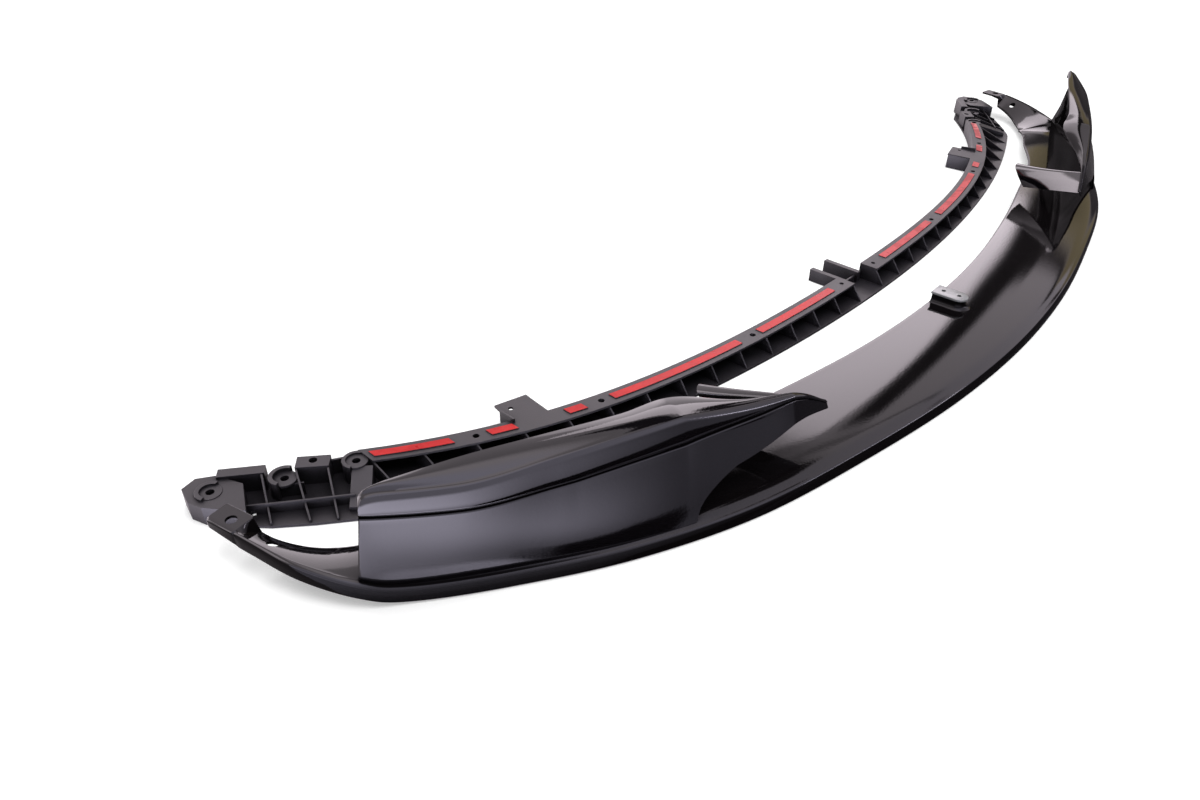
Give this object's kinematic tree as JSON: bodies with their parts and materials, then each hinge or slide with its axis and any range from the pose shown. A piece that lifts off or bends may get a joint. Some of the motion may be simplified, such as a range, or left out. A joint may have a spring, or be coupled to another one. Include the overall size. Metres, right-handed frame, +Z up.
{
  "type": "front splitter lip",
  "caption": "Curved front splitter lip with bonded canards, arm tabs and a centre bracket, laid out in front of its ribbed taped carrier.",
  "frame": {"origin": "centre of the footprint on the floor that the part lies on", "axes": "+X towards the car's left side, along the lip; -Y towards the front of the car; +Z up"},
  "size_m": [1.6508, 0.486, 0.1245],
  "materials": {
    "gloss_black": "moulded ABS, polished gloss black",
    "carrier_black": "moulded polypropylene, fine satin grain",
    "tape_foam": "grey acrylic foam tape",
    "tape_liner": "thin red release film"
  },
  "bodies": {
    "root": {"splitter_blade": "gloss_black", "centre_bracket": "gloss_black", "canard_left": "gloss_black", "canard_right": "gloss_black", "carrier": "carrier_black", "tape_foam_left_1": "tape_foam", "tape_foam_left_2": "tape_foam", "tape_foam_left_3": "tape_foam", "tape_foam_left_4": "tape_foam", "tape_foam_left_5": "tape_foam", "tape_foam_right_1": "tape_foam", "tape_foam_right_2": "tape_foam", "tape_foam_right_3": "tape_foam", "tape_foam_right_4": "tape_foam", "tape_foam_right_5": "tape_foam", "tape_liner_left_1": "tape_liner", "tape_liner_left_2": "tape_liner", "tape_liner_left_3": "tape_liner", "tape_liner_left_4": "tape_liner", "tape_liner_left_5": "tape_liner", "tape_liner_right_1": "tape_liner", "tape_liner_right_2": "tape_liner", "tape_liner_right_3": "tape_liner", "tape_liner_right_4": "tape_liner", "tape_liner_right_5": "tape_liner"}
  },
  "joints": []
}
